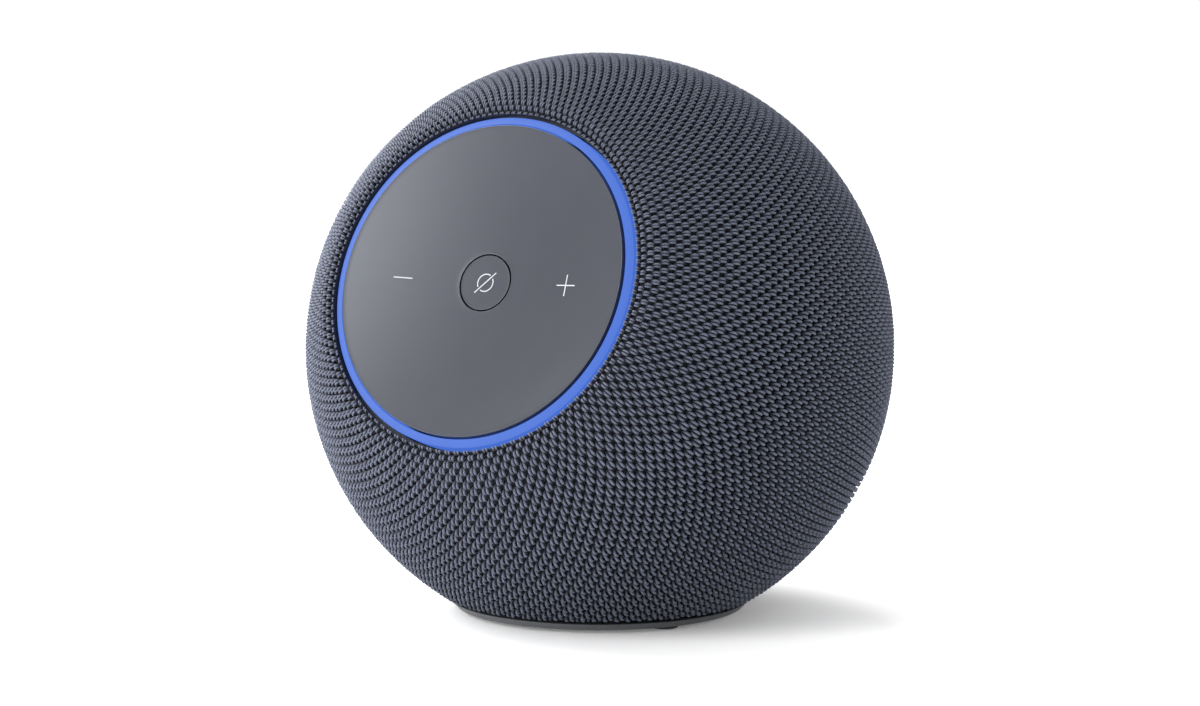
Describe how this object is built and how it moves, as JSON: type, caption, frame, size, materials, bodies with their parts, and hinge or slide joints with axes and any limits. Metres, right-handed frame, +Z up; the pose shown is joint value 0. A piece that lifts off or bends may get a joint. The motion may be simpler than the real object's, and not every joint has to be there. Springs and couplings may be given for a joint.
{
  "type": "smart speaker",
  "caption": "Ball-shaped smart speaker with a knitted cover, a tilted dished control face in a ring of light, a mute button and a small round base.",
  "frame": {"origin": "on the surface that the feet stand on, under the middle of the speaker's width and depth", "axes": "+Z up, -Y out of the front, +X to the right of someone who faces the front"},
  "size_m": [0.1086, 0.1063, 0.1028],
  "materials": {
    "knit": "fine 3-D knit, slate grey",
    "shell": "fine spark-eroded",
    "face": "satin",
    "light": "milky diffuser, lit blue",
    "base": "satin",
    "rubber": "matt",
    "board": "solder mask",
    "chip": "moulded",
    "steel": "bright plated",
    "aluminium": "extruded",
    "ferrite": "ground ferrite",
    "paper": "pressed pulp",
    "dome": "coated silk",
    "film": "polyimide film",
    "copper": "enamelled winding",
    "cloth": "resin-dipped cloth",
    "lead": "smooth jacket"
  },
  "bodies": {
    "root": {"knit_cover": "knit", "front_grille": "shell", "rear_shell": "shell", "baffle": "shell", "face_frame": "shell", "tweeter_frame": "shell", "inlet_bezel": "shell", "face_plate": "face", "light_ring": "light", "base_pan": "base", "baffle_gasket": "rubber", "button_pad": "rubber", "woofer_surround": "rubber", "foot_1": "rubber", "foot_2": "rubber", "foot_3": "rubber", "led_ring": "board", "face_board": "board", "main_board": "board", "antenna": "board", "switch_body": "chip", "dc_jack": "chip", "woofer_basket": "steel", "woofer_top_plate": "steel", "woofer_yoke": "steel", "dc_jack_pin": "steel", "processor_shield": "steel", "microphone_1": "steel", "microphone_2": "steel", "microphone_3": "steel", "microphone_4": "steel", "face_screw_1": "steel", "face_screw_2": "steel", "face_screw_3": "steel", "woofer_screw_1": "steel", "woofer_screw_2": "steel", "woofer_screw_3": "steel", "woofer_screw_4": "steel", "base_screw_1": "steel", "base_screw_2": "steel", "base_screw_3": "steel", "heat_sink": "aluminium", "woofer_magnet": "ferrite", "tweeter_magnet": "ferrite", "touch_sensor": "film", "face_ribbon": "film", "woofer_spider": "cloth", "woofer_lead": "lead", "tweeter_lead": "lead"},
    "mute_button": {"mute_button": "face"},
    "switch_plunger": {"switch_plunger": "steel"},
    "woofer_cone": {"woofer_cone": "paper", "woofer_voice_coil": "copper", "woofer_dust_cap": "paper"},
    "tweeter_dome": {"tweeter_dome": "dome"}
  },
  "joints": [
    {"name": "mute_press", "type": "slide", "parent": "root", "child": "mute_button", "axis": [0, 0.9361, -0.3518], "range_m": [0, 0.0005], "stiffness_N_per_m": 1500, "springref_m": -0.0004, "deforming": ["button_pad"]},
    {"name": "switch_press", "type": "slide", "parent": "root", "child": "switch_plunger", "axis": [0, 0.9361, -0.3518], "range_m": [0, 0.0005]},
    {"name": "woofer_stroke", "type": "slide", "parent": "root", "child": "woofer_cone", "axis": [0, -0.9361, 0.3518], "range_m": [-0.003, 0.003], "stiffness_N_per_m": 1400, "deforming": ["woofer_surround", "woofer_spider"]},
    {"name": "tweeter_stroke", "type": "slide", "parent": "root", "child": "tweeter_dome", "axis": [0, -0.1374, 0.9905], "range_m": [-0.0003, 0.0003], "stiffness_N_per_m": 1500}
  ],
  "couplings": [
    {"joint": "switch_press", "follows": "mute_press", "ratio": 1}
  ]
}
